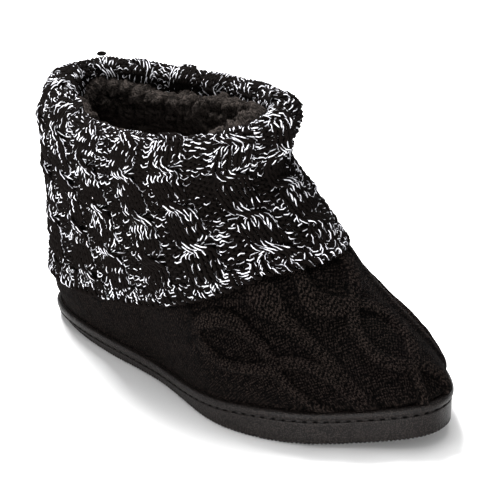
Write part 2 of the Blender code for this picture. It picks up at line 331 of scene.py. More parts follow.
# The shoe's own origin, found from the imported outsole
SOLE_LOW, SOLE_HIGH = (np.array(corner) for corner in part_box("outsole"))
RIM_POINTS = outline(np.linspace(0, TAU, 4000))
ORIGIN = np.array([(SOLE_LOW[0] + SOLE_HIGH[0]) / 2,
                   SOLE_LOW[1] - (RIM_POINTS[:, 1].min() - BEAD_BULGE), 0])


# Smooth noise and meshes from arrays

def lumps(points, size, seed):
    """Value noise from -1 to 1: random numbers on a cubic lattice of the given size, eased between."""
    rng = np.random.default_rng(seed)
    lattice = rng.uniform(-1, 1, (32, 32, 32))
    cell = points / size + 1000
    base = np.floor(cell).astype(int)
    t = ease(cell - base)
    total = 0
    for corner in np.ndindex(2, 2, 2):
        corner = np.array(corner)
        weight = np.prod(np.where(corner == 1, t, 1 - t), axis=-1)
        i = (base + corner) % 32
        total = total + weight * lattice[i[..., 0], i[..., 1], i[..., 2]]
    return total


def mesh_of(name, points, quads, uv=None, mark=None):
    """A smooth mesh from a list of points and an array of quads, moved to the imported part's place. A
    mark from 0 to 1 at each point is kept for the material."""
    mesh = bpy.data.meshes.new(name)
    count = len(quads)
    mesh.vertices.add(len(points))
    mesh.vertices.foreach_set("co", (points + ORIGIN).astype(np.float32).ravel())
    mesh.loops.add(4 * count)
    mesh.loops.foreach_set("vertex_index", quads.astype(np.int32).ravel())
    mesh.polygons.add(count)
    mesh.polygons.foreach_set("loop_start", np.arange(0, 4 * count, 4, dtype=np.int32))
    mesh.polygons.foreach_set("loop_total", np.full(count, 4, np.int32))
    if uv is not None:
        layer = mesh.uv_layers.new(name="weave")
        layer.data.foreach_set("uv", uv.astype(np.float32).ravel())
    if mark is not None:
        attribute = mesh.attributes.new("mark", 'FLOAT', 'POINT')
        attribute.data.foreach_set("value", mark.astype(np.float32).ravel())
    mesh.update(calc_edges=True)
    mesh.validate()
    mesh.shade_smooth()
    made = bpy.data.objects.new(name, mesh)
    bpy.context.scene.collection.objects.link(made)
    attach(made, "root")
    return made


def grid_quads(rows, columns, wrap_rows, wrap_columns):
    """Quads of a grid of points, row by row; a wrapped side joins its last line to its first."""
    r = np.arange(rows if wrap_rows else rows - 1)[:, None]
    c = np.arange(columns if wrap_columns else columns - 1)[None, :]
    up, right = (r + 1) % rows, (c + 1) % columns
    quads = np.stack([r * columns + c, r * columns + right, up * columns + right, up * columns + c], -1)
    return quads.reshape(-1, 4)


# Outsole

SOLE_COLUMNS = 1200
WALL_RINGS = 9
EDGE_RINGS, GROOVE_RINGS = 4, 4
TOOTH_PITCH = 0.0021          # notches of the serrated bottom edge
TOOTH_DEPTH = 0.0005
STITCH_PITCH = 0.0054         # moulded dashes in the groove
TREAD_SHARES = (1.0, 0.985, 0.95, 0.91, 0.87, 0.83, 0.79, 0.74, 0.6, 0.4, 0.2, 0.05)


def sole_turns(count):
    """Turns spaced evenly along the outline, the same on both sides, with none at heel or toe."""
    fine = np.linspace(0, math.pi, 4000)
    both = [np.linalg.norm(np.diff(outline(side * fine), axis=0), axis=1) for side in (1, -1)]
    run = np.concatenate([[0], np.cumsum(both[0] + both[1])])
    half = np.interp((np.arange(count // 2) + 0.5) / (count // 2), run / run[-1], fine)
    return np.concatenate([half, TAU - half[::-1]])


def arc_length(turn):
    """Distance along the outline at each of a ring's turns."""
    points = outline(turn)
    return np.cumsum(np.linalg.norm(points - np.roll(points, 1, axis=0), axis=1))


def sole_ring(turn, inset, height):
    """The outline moved inwards by an inset, at the given heights."""
    step = 1e-4
    run = unit(outline(turn + step) - outline(turn - step))
    inward = np.stack([-run[:, 1], run[:, 0]], -1)
    flat = outline(turn) + inward * np.broadcast_to(inset, turn.shape)[:, None]
    return np.column_stack([flat, np.broadcast_to(height, turn.shape)])


def strips_across(ring, columns):
    """Quads straight across the shoe between the two sides of a ring, closing it like a lid."""
    i = np.arange(columns // 2 - 1)
    other = columns - 1 - i
    return ring * columns + np.stack([i, i + 1, other - 1, other], -1)


def tread(points, share_in, low):
    """Underside: bars between grooves across heel and forefoot. The groove's depth is a soft box wave
    of the distance along the sole, kept off the rim."""
    share = points[:, 0] / SOLE_LENGTH + 0.5
    wave = np.abs(np.mod(share * SOLE_LENGTH / LUG_PITCH, 1) - 0.5) * LUG_PITCH
    depth = ease((LUG_GAP / 2 + 0.3 * MM - wave) / (0.6 * MM))
    spans = (HEEL_TREAD_SHARES, FOREFOOT_TREAD_SHARES)
    inside = sum(ease((share - start) / 0.004) * ease((end - share) / 0.004) for start, end in spans)
    off_rim = ease(((1 - share_in) * BALL_WIDTH / 2 - LUG_MARGIN) / (1.5 * MM))
    return low + LUG_DEPTH * depth * inside * off_rim


def make_outsole():
    """Rings from the underside out to the serrated edge, up the leaning wall, in and out of the groove
    with its moulded dashes, round the bead and in over the top."""
    turn = sole_turns(SOLE_COLUMNS)
    share, run = along(turn), arc_length(turn)
    low, top = ground(share), feather(share)
    taper = FOREFOOT_TAPER + (HEEL_TAPER - FOREFOOT_TAPER) * ease(1 - share / TAPER_END_SHARE)
    shelf = top - BEAD_HEIGHT
    perimeter = run[-1]
    tooth = ease(1.6 * np.cos(TAU * run * round(perimeter / TOOTH_PITCH) / perimeter) - 0.35)
    dash = ease(1.5 + 2.2 * np.cos(TAU * run * round(perimeter / STITCH_PITCH) / perimeter))
    groove = GROOVE_DEPTH * (1 - 0.62 * dash)
    notch = TOOTH_DEPTH * tooth
    rings = []
    edge = sole_ring(turn, taper + SOLE_EDGE, low)
    for share_in in TREAD_SHARES[::-1]:
        ring = edge * (1, share_in, 1)
        ring[:, 2] = tread(ring, share_in, low)
        ring[:, 2] += notch * ease((share_in - 0.95) / 0.03)
        rings.append(ring)
    wall = shelf - GROOVE_WIDTH - low
    profile = [(taper + 0.55 * SOLE_EDGE + 0.5 * notch, low + 0.12 * SOLE_EDGE + notch),
               (taper + 0.25 * SOLE_EDGE + 0.7 * notch, low + 0.35 * SOLE_EDGE + notch),
               (taper + 0.05 * SOLE_EDGE + 0.7 * notch, low + 0.75 * SOLE_EDGE + 0.7 * notch),
               (taper + 0.6 * notch, low + 1.2 * SOLE_EDGE + 0.4 * notch)]
    for h in np.linspace(0.04, 1, WALL_RINGS):
        inset = taper * (1 - h) ** 0.7 + 0.5 * notch * ease(1 - 4 * h)
        profile.append((inset, low + 1.4 * SOLE_EDGE + h * (wall - 1.6 * SOLE_EDGE)))
    profile += [(0.1 * groove, shelf - 1.0 * GROOVE_WIDTH), (0.55 * groove, shelf - 0.93 * GROOVE_WIDTH),
                (groove, shelf - 0.75 * GROOVE_WIDTH), (groove, shelf - 0.5 * GROOVE_WIDTH),
                (groove, shelf - 0.25 * GROOVE_WIDTH), (0.5 * GROOVE_DEPTH, shelf - 0.06 * GROOVE_WIDTH)]
    # The bead is a soft half round from the groove to the shoulder
    for angle in np.radians((-70, -48, -26, -8, 10, 30, 50, 68)):
        bulge = SOLE_LEDGE * (1 - math.cos(angle)) * (1.0 if angle > 0 else 0.55) - BEAD_BULGE
        profile.append((bulge, shelf + BEAD_HEIGHT * (0.5 + 0.5 * math.sin(angle))))
    profile += [(1.3 * SOLE_LEDGE, top - 0.05 * MM), (2.2 * SOLE_LEDGE, top), (10 * MM, top)]
    rings += [sole_ring(turn, inset, height) for inset, height in profile]
    rows = len(rings)
    # The groove's floor is marked for painted shade, dark but for the moulded dashes across it. Its rings
    # come after those of the tread and the wall, four of the edge and the first one of the groove
    mark = np.ones((rows, SOLE_COLUMNS))
    groove_row = len(TREAD_SHARES) + WALL_RINGS + EDGE_RINGS + 1
    mark[groove_row:groove_row + GROOVE_RINGS] = 0.85 * dash
    quads = np.concatenate([grid_quads(rows, SOLE_COLUMNS, False, True),
                            strips_across(0, SOLE_COLUMNS)[:, ::-1], strips_across(rows - 1, SOLE_COLUMNS)])
    made = mesh_of("outsole_moulding", np.concatenate(rings), quads, mark=mark)
    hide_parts("outsole")
    return made


# Vamp and leg of the upper

VAMP_COLUMNS = 720
VAMP_ROWS = 104
INNER_ROWS = 8
TUCK = 0.07                   # levels that the fine knit runs on under the cuff
UPPER_TOP = 0.985             # level of the upper's top edge, inside the roll

# The vamp's knit, in millimetres along the shoe and across it from the ridge, minus on the outer
# side. Two strands swing apart and cross again and again, round ovals of purl; between two such
# chains lies a plain band with a sunken line on each side.
CHAINS = ((-6.0, 10.5, 81.0, 34.0),       # middle, swing of a strand, place of a crossing, oval's length
          (-47.0, 9.5, 60.0, 45.0),
          (37.0, 9.5, 72.0, 40.0))
STRAND_HALF = 2.8
STRAND_RISE = 3.0
CHAIN_START = 2.0             # the chains rise from the plain side of the leg over this stretch
CHAIN_FADE = 26.0
BANDS = (((40, -27), (55, -26.5), (71, -28.5), (84, -31), (93, -35), (104, -38)),
         ((40, 15), (56, 15), (72, 16), (88, 19), (100, 22), (110, 24)))
BAND_HALF = 4.6
BAND_RISE = 1.8
FINE_STITCH = (1.7, 2.0)      # pitch of the fine knit along and across, in millimetres
FOOT_AXIS = 62.0              # height of the foot's axis and radius round it, in millimetres
FOOT_RADIUS = 46.0


def chart_place(points):
    """Where a point of the vamp lies on its flat knit. Across, it is the angle round the foot's axis,
    stretched towards the sole, where the side stands up."""
    across = points[..., 1] * 1000
    drop = np.clip(FOOT_AXIS - points[..., 2] * 1000, 0, 60)
    round_axis = np.arctan2(np.abs(across), FOOT_AXIS - 0.75 * drop) * FOOT_RADIUS
    return points[..., 0] * 1000, np.sign(across) * (round_axis + 2.3e-4 * round_axis ** 3)


def near_line(x, y, line):
    """Distance from points to a polyline."""
    best = np.full(x.shape, 1e9)
    line = np.array(line, float)
    for start, end in zip(line[:-1], line[1:]):
        step = end - start
        t = np.clip(((x - start[0]) * step[0] + (y - start[1]) * step[1]) / (step @ step), 0, 1)
        best = np.minimum(best, np.hypot(x - start[0] - t * step[0], y - start[1] - t * step[1]))
    return best


def vamp_relief(points):
    """Height of the vamp's knit in metres, and how plain it is there. A strand is a soft step of the
    distance to its line, axis + swing |sin|^0.75. It dips where it goes under the other one, and
    fades out towards the heel."""
    p, q = chart_place(points)
    p = p + 1.2 * lumps(points, 0.020, 3)
    q = q + 0.9 * lumps(points, 0.016, 4)
    rise = np.zeros(p.shape)
    from_leg = ease((p - CHAIN_START) / CHAIN_FADE)
    for axis, swing, crossing, length in CHAINS:
        phase = (p - crossing) / length
        open_share = np.abs(np.sin(math.pi * phase)) ** 0.75
        for side in (-1, 1):
            away = np.abs(q - axis - side * swing * open_share) / (1 + 0.5 * (1 - open_share))
            under = 1 - 0.45 * (1 - open_share) * (side * (-1) ** np.floor(phase + 0.5) > 0)
            strand = ease((1.55 - away / STRAND_HALF) / 0.9)
            rise = np.maximum(rise, STRAND_RISE * from_leg * under * strand)
        inside = ease((swing * open_share - np.abs(q - axis)) / 4)
        rise = np.maximum(rise, 0.35 * inside)
    for line in BANDS:
        rise = np.maximum(rise, BAND_RISE * ease(1.4 - near_line(p, q, line) / BAND_HALF))
    plain = ease((rise - 0.3) / 1.5)
    fuzz = 0.16 * lumps(points, 0.0022, 5) + 0.22 * lumps(points, 0.0046, 6)
    return (rise - 1.1 + fuzz) * MM, plain


def make_upper():
    """The upper's section: fine knit from the sole to just under the cuff, on up inside the cuff, and
    down the inner wall. The knit's relief is added along the outward direction and fades at the
    sole and under the hem."""
    turn = sole_turns(VAMP_COLUMNS)
    hem = hem_level(turn)
    fine = np.linspace(0, 1, VAMP_ROWS)[:, None] * (hem + TUCK)
    above = (hem + TUCK) + (UPPER_TOP - hem - TUCK) * np.linspace(0, 1, 9)[1:, None]
    level = np.concatenate([fine, above])
    turns = np.broadcast_to(turn, level.shape)
    depth = sink(turns, level)
    outer = skin(turns, level, -depth)
    relief, plain = vamp_relief(outer)
    chart = np.stack(chart_place(outer), -1) / FINE_STITCH
    lower_fade = ease(level / 0.012)
    upper_fade = ease((hem + 0.02 - level) / 0.02)
    outer += outward(form, turns, level) * (relief * lower_fade * upper_fade)[..., None]
    inner_level = np.linspace(1, 0, INNER_ROWS)[:, None] * UPPER_TOP + 0 * hem
    turns = np.broadcast_to(turn, inner_level.shape)
    inner = skin(turns, inner_level, -sink(turns, inner_level) - UPPER_WALL)
    for face, row in ((outer, 0), (inner, -1)):
        face[row, :, 2] = feather(along(turn)) + CLEARANCE
    rings = np.concatenate([outer, inner])
    quads = grid_quads(len(rings), VAMP_COLUMNS, True, True)
    chart = np.concatenate([chart, np.zeros(inner.shape[:2] + (2,))]).reshape(-1, 2)
    plain = np.concatenate([plain, np.zeros(inner.shape[:2])])
    made = mesh_of("knit_upper", rings.reshape(-1, 3), quads, chart[quads.ravel()], plain)
    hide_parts("upper")
    return made


# Cuff

GRID_TURNS = 480
GRID_ROWS = 150
OUTER_SAMPLES = 34
ROLL_SAMPLES = 24
PLEAT_TURN = 3.36             # place, half width and depth of the pleat across the roll at the front
PLEAT_SLANT = 0.38            # how far its inner end lies from its outer end, in turn
PLEAT_HALF = 0.085
PLEAT_DEPTH = 0.0036
PLEAT_SWELL = 0.0021          # how far the roll swells on each side of it
NEUTRAL = 0.0024              # depth of the knit's middle under the cuff's outer face
LOOP_SWAY = 0.20              # how far a loop's legs lean, in stitches
LOOP_REACH = 0.86             # half height of a loop, in rows
LOOP_DEPTH = 0.00095
PLY_LAG = 0.10                # how much the ply's turning slows where the yarn is in front, in turns
CROSS_ROWS = 2.8              # rows over which a cable's strands change places
CROSS_LIFT = 0.0012
ROPE_RISE = 0.0016
ROLL_ROWS = (22.5, 27.0)      # rows over which the cables sink into the roll
ROLL_ROPE = 0.35              # share of their rise that is left there
PURL_DROP = 0.0010
RIB_LIFT = 0.0009             # how far the rib stands out, and how far its knit and purl differ
RIB_RELIEF = 0.00035
WALE_LEAN = 3.0               # stitches that a wale leans over the cuff's height on the outer side
LEAN_TURN, LEAN_REACH = 1.5, 0.55
LEAN_MIDDLE, LEAN_ROWS = 12, 24         # row that doesn't move, and rows of the whole lean
LOOSE_ALONG, LOOSE_UP, LOOSE_OUT = 0.07, 0.10, 0.22 * MM       # how unevenly the yarn lies
CUFF_PIECES = 4
BACKING_TURNS = 240

# How much the white thread shows: along a cable, more where it crosses, more in the row of
# stitches under that, in purl, on the roll and in the rib; and how uneven it is
WHITE_CABLE, WHITE_CROSSING, WHITE_UNDER = 0.28, 0.40, 0.34
WHITE_PURL, WHITE_ROLL, WHITE_RIB = 0.45, 0.53, 0.60
WHITE_PATCH, WHITE_SINGLE = 0.32, 0.58
ROLL_PATCH = 0.4              # share of the patches that is left on the roll


def roll_width(turn):
    """Width of the roll from the leg's outer face to its inner one."""
    return ROLL_WIDTH * smooth(ROLL, np.mod(turn / math.pi, 2), 1)


def cuff_path(turn):
    """Lines from the hem up the leg, over the roll and down the inner leg, one for each turn. The roll
    is half an ellipse across the collar's edge. The pleat is a slanting dent in it, a bell curve
    across with a swelling on each side."""
    hem = hem_level(turn)
    level = hem + (1 - hem) * np.linspace(0, 1, OUTER_SAMPLES)[:, None]
    turns = np.broadcast_to(turn, level.shape)
    proud = CUFF_PROUD * (1 - SETTLE_SHARE * ease((level - hem) / SETTLE_LEVELS))
    leg = skin(turns, level, proud)
    edge, out = form(turn, level[-1]), outward(form, turn, level[-1])
    angle = np.linspace(0, math.pi, ROLL_SAMPLES)[1:, None, None]
    reach = proud[-1][:, None] - roll_width(turn)[:, None] * (1 - np.cos(angle)) / 2
    rise = ROLL_RISE * smooth(ROLL, np.mod(turn / math.pi, 2), 2)[:, None]
    off = (turn - PLEAT_TURN - PLEAT_SLANT * angle[..., 0] / math.pi) / PLEAT_HALF
    pleat = PLEAT_DEPTH * np.exp(-off ** 2) - PLEAT_SWELL * np.exp(-((np.abs(off) - 2.6) / 1.3) ** 2)
    leg = leg - outward(form, turns, level) * (pleat[0] * ease((level - 0.84) / 0.14))[..., None]
    rise = rise - pleat[..., None]
    reach = reach - pleat[..., None] * (1 + np.cos(angle)) / 2
    roll = edge + out * reach + np.array([0, 0, 1]) * rise * np.sin(angle)
    drop = np.linspace(0, 1, 5)[1:, None, None] * 1.15 * INNER_LEG
    inner = roll[-1] - np.array([0, 0, 1]) * drop
    return np.concatenate([leg, roll, inner])


def cuff_grid():
    """The cuff's outer face on a grid that is even along each line, with its outward directions."""
    turn = np.arange(GRID_TURNS) * TAU / GRID_TURNS
    path = cuff_path(turn)
    steps = np.linalg.norm(np.diff(path, axis=0), axis=2)
    run = np.concatenate([np.zeros((1, GRID_TURNS)), np.cumsum(steps, axis=0)])
    share = run / run[-1]
    wanted = np.linspace(0, 1, GRID_ROWS)
    i = np.clip((share[None] <= wanted[:, None, None]).sum(1) - 1, 0, len(path) - 2)
    columns = np.arange(GRID_TURNS)[None]
    t = (wanted[:, None] - share[i, columns]) / (share[i + 1, columns] - share[i, columns])
    grid = path[i, columns] * (1 - t[..., None]) + path[i + 1, columns] * t[..., None]
    across = np.roll(grid, -1, axis=1) - np.roll(grid, 1, axis=1)
    up = np.gradient(grid, axis=0)
    return turn, grid, unit(np.cross(across, up))


CUFF_TURNS, CUFF_GRID, CUFF_OUT = cuff_grid()


def column_turns():
    """The turn at each whole column, from the distance round the middle of the cuff."""
    ring = CUFF_GRID[GRID_ROWS // 4]
    run = np.concatenate([[0], np.cumsum(np.linalg.norm(np.roll(ring, -1, axis=0) - ring, axis=1))])
    columns = run / run[-1] * STITCHES
    at_chart = np.interp(CHART_TURN, np.append(CUFF_TURNS, TAU), columns)
    return columns, at_chart


RING_COLUMNS, CHART_AT = column_turns()


def on_cuff(column, row, lift):
    """Points of the cuff at a column and a row, lifted off its outer face: the grid read between its
    points. The wales lean along the outer side, more the farther they are from the middle."""
    place = column - CHART_COLUMN + CHART_AT
    lean = WALE_LEAN * np.exp(-((np.mod(place / STITCHES * TAU, TAU) - LEAN_TURN) / LEAN_REACH) ** 2)
    place = np.mod(place + lean * (row - LEAN_MIDDLE) / LEAN_ROWS, STITCHES)
    x = np.interp(place, RING_COLUMNS, np.arange(GRID_TURNS + 1))
    y = np.clip(row / ROWS * (GRID_ROWS - 1), -2, GRID_ROWS - 1.001)
    i = np.clip(np.floor(y).astype(int), 0, GRID_ROWS - 2)
    j = np.floor(x).astype(int)
    s, t = (y - i)[..., None], (x - j)[..., None]
    j, k = j % GRID_TURNS, (j + 1) % GRID_TURNS

    def read(grid):
        low = grid[i, j] * (1 - t) + grid[i, k] * t
        high = grid[i + 1, j] * (1 - t) + grid[i + 1, k] * t
        return low * (1 - s) + high * s
    normal = unit(read(CUFF_OUT))
    return read(CUFF_GRID) + normal * lift[..., None], normal


def knit_chart():
    """For each course and stitch: its height in rows; +1 for a knit stitch, -1 for purl; its cable's
    crossing row; its place in its cable, or -1; and whether it lies in the rib."""
    course = np.arange(COURSES)[:, None] + 0 * np.arange(STITCHES)
    stitch = np.arange(STITCHES)[None] + 0 * course
    column, panel = stitch % PANEL_STITCHES, stitch // PANEL_STITCHES
    in_cable = np.full(stitch.shape, -1)
    crossing = np.zeros(stitch.shape)
    for cable, start in enumerate(CABLE_STARTS):
        here = (column >= start) & (column < start + CABLE_COLUMNS)
        in_cable = np.where(here, column - start, in_cable)
        crossing = np.where(here, np.array(CROSSINGS)[panel, cable], crossing)
    rib = course < RIB_COURSES
    base = np.where(rib, course * RIB_PITCH, course - RIB_COURSES * (1 - RIB_PITCH))
    in_cable = np.where(rib, -1, in_cable)
    rib_side = np.where(column % 2 == 0, 1, -1)
    side = np.where(rib, rib_side, np.where(in_cable >= 0, 1, -1))
    return base, stitch, side, crossing, in_cable, rib


def white_share(base, stitch, crossing, cabled, rib):
    """How much the white thread shows in each stitch, 0 to 1: where a cable crosses, in the row of
    stitches under that, in the hem's rib, and elsewhere in patches and single stitches."""
    past = (base + 0.75 - crossing + CABLE_PERIOD / 2) % CABLE_PERIOD - CABLE_PERIOD / 2
    crossed, under = np.exp(-(past / 1.2) ** 2), np.exp(-((past + 2.5) / 0.8) ** 2)
    cable = WHITE_CABLE + WHITE_CROSSING * crossed + WHITE_UNDER * under
    share = np.where(cabled, cable, WHITE_PURL)
    share = np.where(base >= ROLL_ROWS[0], WHITE_ROLL, share)
    share = np.where(rib, WHITE_RIB, share)
    patch = lumps(np.stack([stitch / 2.2, base, 0 * base], -1), 1.0, 15)
    patch = patch * np.where(base >= ROLL_ROWS[0], ROLL_PATCH, 1)
    single = lumps(np.stack([stitch / 0.8, base / 0.6, 0 * base], -1), 1.0, 16)
    return ease((share + WHITE_PATCH * patch + WHITE_SINGLE * single - 0.5) / 0.5 + 0.5)


def knit_lines():
    """Centre lines of all courses. In a stitch the yarn goes x = t + sway sin 2t, v = reach cos t, and
    its depth is cos 2t, in front at the legs of a knit stitch and behind in a purl one. A cable's
    front strand moves two columns to the left over its crossing rows, and its back strand two to
    the right."""
    base, stitch, side, crossing, in_cable, rib = (a[..., None] for a in knit_chart())
    t = (np.arange(STITCH_STEPS) / STITCH_STEPS)[None, None]
    before, after = np.roll(side, 1, axis=1), np.roll(side, -1, axis=1)
    neighbour = np.where(t < 0.5, before, after)
    edge = np.minimum(t, 1 - t)
    side = side + (neighbour - side) * 0.5 * (1 - ease(edge / 0.2))
    row = base + np.where(rib, RIB_PITCH, 1) * (0.75 + LOOP_REACH * np.cos(TAU * t))
    column = stitch + t + LOOP_SWAY * np.sin(2 * TAU * t)
    lift = -LOOP_DEPTH * side * np.cos(2 * TAU * t)
    nearest = crossing + CABLE_PERIOD * np.round((base + 0.75 - crossing) / CABLE_PERIOD)
    away = row - nearest
    share = ease(away / CROSS_ROWS + 0.5)
    below = base + 0.75 < nearest
    left = in_cable < CABLE_COLUMNS // 2
    cabled = in_cable >= 0
    # Below the crossing the right strand is the front one; above it that strand is at the left
    front = np.where(below, ~left, left)
    travel = np.where(below, share, share - 1) * np.where(front, -2, 2)
    window = np.cos(math.pi * np.clip(away / (CROSS_ROWS + 1.4), -0.5, 0.5)) ** 2
    column = column + np.where(cabled, travel, 0)
    lift = lift + np.where(cabled, np.where(front, 1, -1) * CROSS_LIFT * window, 0)
    start = stitch - in_cable
    round_rise = ROPE_RISE * np.clip(1 - ((column - start - 2) / 2.5) ** 2, 0, 1)
    sunk = 1 - (1 - ROLL_ROPE) * ease((row - ROLL_ROWS[0]) / (ROLL_ROWS[1] - ROLL_ROWS[0]))
    lift = lift + np.where(cabled, round_rise * sunk, 0) - PURL_DROP - NEUTRAL
    lift = lift + np.where(rib, RIB_LIFT + RIB_RELIEF * side, 0)
    loose = np.stack([column, 1.3 * row, 0 * row], -1)
    column = column + LOOSE_ALONG * lumps(loose, 1.3, 11)
    row = row + LOOSE_UP * lumps(loose, 1.3, 12)
    lift = lift + LOOSE_OUT * lumps(loose, 1.1, 13)
    show = white_share(base, stitch, crossing, cabled, rib)
    nearby = np.where(t < 0.5, np.roll(show, 1, axis=1), np.roll(show, -1, axis=1))
    show = show + (nearby - show) * np.abs(t - 0.5)
    angle = 2 * t - 0.25 * (1 + side) + PLY_LAG * side * np.sin(2 * TAU * t) + 0.5 * (1 - show)
    angle = angle + 0.05 * lumps(loose, 0.9, 14)
    shape = (COURSES, STITCHES * STITCH_STEPS)
    return tuple(a.reshape(shape) for a in (column, row, lift, angle))


def yarn_tube(name, line, out, radius, angles):
    """A piece of yarn: a tube round each of several closed lines, line + radius (cos a N + sin a B), with
    N the outward direction made square to the line and B beside it. The UV map holds the ply's turn
    round the yarn in x and the place round the tube in y."""
    courses, steps = line.shape[:2]
    run = unit(np.roll(line, -1, axis=1) - np.roll(line, 1, axis=1))
    beside = unit(np.cross(run, out))
    above = np.cross(beside, run)
    turn = (np.arange(YARN_SIDES) / YARN_SIDES * TAU)[None, None, :, None]
    around = np.cos(turn) * above[:, :, None] + np.sin(turn) * beside[:, :, None]
    points = line[:, :, None] + radius * around
    s = np.arange(steps)[:, None]
    a = np.arange(YARN_SIDES)[None]
    here, ahead, next_side = s * YARN_SIDES, (s + 1) % steps * YARN_SIDES, (a + 1) % YARN_SIDES
    one = np.stack([here + a, here + next_side, ahead + next_side, ahead + a], -1)
    quads = (np.arange(courses)[:, None, None, None] * steps * YARN_SIDES + one[None]).reshape(-1, 4)
    ply = angles[:, :, None, None]
    step = np.roll(angles, -1, axis=1)[:, :, None, None] - ply
    ply_next = ply + (step + 0.5) % 1 - 0.5
    side = (a / YARN_SIDES)[None, :, :, None]
    u = np.concatenate([ply + 0 * side, ply + 0 * side, ply_next + 0 * side, ply_next + 0 * side], -1)
    v = np.concatenate([side, side + 1 / YARN_SIDES, side + 1 / YARN_SIDES, side], -1) + 0 * ply
    uv = np.stack([u, v], -1)
    return mesh_of(name, points.reshape(-1, 3), quads, uv.reshape(-1, 2))


def make_cuff():
    """The knit in a few pieces of whole courses, its cast-off edge, and a loose loop of yarn."""
    column, row, lift, angles = knit_lines()
    line, out = on_cuff(column, row, lift)
    made = []
    for piece in range(CUFF_PIECES):
        rows = slice(piece * COURSES // CUFF_PIECES, (piece + 1) * COURSES // CUFF_PIECES)
        made.append(yarn_tube(f"cuff_knit_{piece + 1}", line[rows], out[rows], YARN_RADIUS, angles[rows]))
    # The cast-off edge: one yarn wound round the hem
    steps = STITCHES * STITCH_STEPS
    t = np.arange(steps)[None] / STITCH_STEPS
    wound = RIB_LIFT * (1 + np.sin(TAU * t))
    line, out = on_cuff(t, 0.15 + 0.42 * np.cos(TAU * t), -NEUTRAL + wound)
    ply = t + 0.5 * lumps(np.stack([t, 0 * t, 0 * t], -1), 2.5, 21)
    made.append(yarn_tube("cuff_hem_edge", line, out, YARN_RADIUS, ply))
    # A loose loop of yarn stands up from the roll at the back
    t = np.arange(24)[None] / 24
    middle = np.interp(YARN_END[0], np.append(CUFF_TURNS, TAU), RING_COLUMNS) - CHART_AT + CHART_COLUMN
    line, out = on_cuff(middle + 0.50 * np.cos(TAU * t), YARN_END[1] + 0.10 * np.sin(2 * TAU * t),
                        0.5 * MM + 0.6 * MM * np.sin(TAU * t))
    beside = np.broadcast_to(np.array([0, 0.3, 1.0]), out.shape)
    made.append(yarn_tube("cuff_yarn_loop", line, beside, 0.75 * YARN_RADIUS, 0.5 + 0 * t))
    return made


def make_cuff_backing():
    """The dark body of the folded knit, just under the yarn: the cuff's own section, its outer face
    lowered, with its inner faces against the upper."""
    turn = np.arange(BACKING_TURNS) * TAU / BACKING_TURNS
    columns = slice(None, None, GRID_TURNS // BACKING_TURNS)
    rows = np.arange(2, GRID_ROWS, 3)
    outer = CUFF_GRID[rows][:, columns] - CUFF_OUT[rows][:, columns] * (NEUTRAL + 1.1 * MM)
    hem = hem_level(turn)
    low, high = hem + 0.01, np.full(turn.shape, 1.0)
    inside_level = np.linspace(1, 0.93, 3)[:, None] * high
    turns = np.broadcast_to(turn, inside_level.shape)
    inside = skin(turns, inside_level, -CUFF_KNIT - UPPER_WALL - CLEARANCE)[::-1]
    back_level = low + (high - low) * np.linspace(1, 0, 16)[:, None]
    turns = np.broadcast_to(turn, back_level.shape)
    back = skin(turns, back_level, CLEARANCE - sink(turns, back_level))
    back[0, :, 2] += CLEARANCE
    inside[-1, :, 2] += CLEARANCE
    rings = np.concatenate([outer, inside, back])
    made = mesh_of("cuff_backing", rings.reshape(-1, 3), grid_quads(len(rings), len(turn), True, True))
    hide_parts("cuff")
    return made


# Pile lining and insole

# Top of the pile inside the collar as a level of the form, by turn in half circles
PILE_TOP = ((0.00, 0.960), (0.30, 0.950), (0.60, 0.925), (0.90, 0.935), (1.10, 0.935), (1.28, 0.928),
            (1.42, 0.918), (1.55, 0.896), (1.68, 0.905), (1.78, 0.955), (1.90, 0.965), (2.00, 0.960))
PAINTED_LIGHT_AT_TOP = 0.12            # share of the curls' painted light and shade that is left at the collar


def billow(points, size, seed):
    """Rounded swellings from 0 to 1 with sharp creases between them: the size of a value noise
    without its sign."""
    return np.clip(1.7 * np.abs(lumps(points, size, seed)), 0, 1) ** 0.7


def pile(points, seed):
    """Height of curly pile and its painted light, both 0 to 1, the painted light low in the creases as
    painted shade: on a soft swelling, clumps of three sizes with creases between them, their places shifted
    by a softer noise so that they wind like curls."""
    shift = np.stack([lumps(points, 0.0055, seed + k) for k in (5, 6, 7)], -1)
    wound = points + 0.0022 * shift
    big = 0.5 + 0.5 * lumps(points, 0.0120, seed)
    middle = billow(wound, 0.0062, seed + 1)
    small = billow(wound, 0.0031, seed + 2)
    fine = billow(wound, 0.0016, seed + 3)
    height = 0.36 * big + 0.34 * middle + 0.22 * small + 0.10 * fine
    return height, np.clip(0.40 * middle + 0.42 * small + 0.30 * fine, 0, 1)


LINING_TURNS = 620
LINING_GROUND = 1.5 * MM      # thickness of the pile's own ground
CURL_LOW = 2.4 * MM           # height of the curls down in the shoe, and how much they gain at the collar
CURL_GAIN = 4.8 * MM
CURL_TOP = 0.0032             # radius over which the pile rounds over at its top
CURL_SHELF = 0.0060           # how far it runs on outwards, into the knit
INSOLE_CURLS = 2.0 * MM
INSOLE_SHARES = (1.0, 0.985, 0.95, 0.9, 0.84, 0.78, 0.71, 0.64, 0.56, 0.48, 0.40, 0.32, 0.24, 0.16,
                 0.08, 0.02)


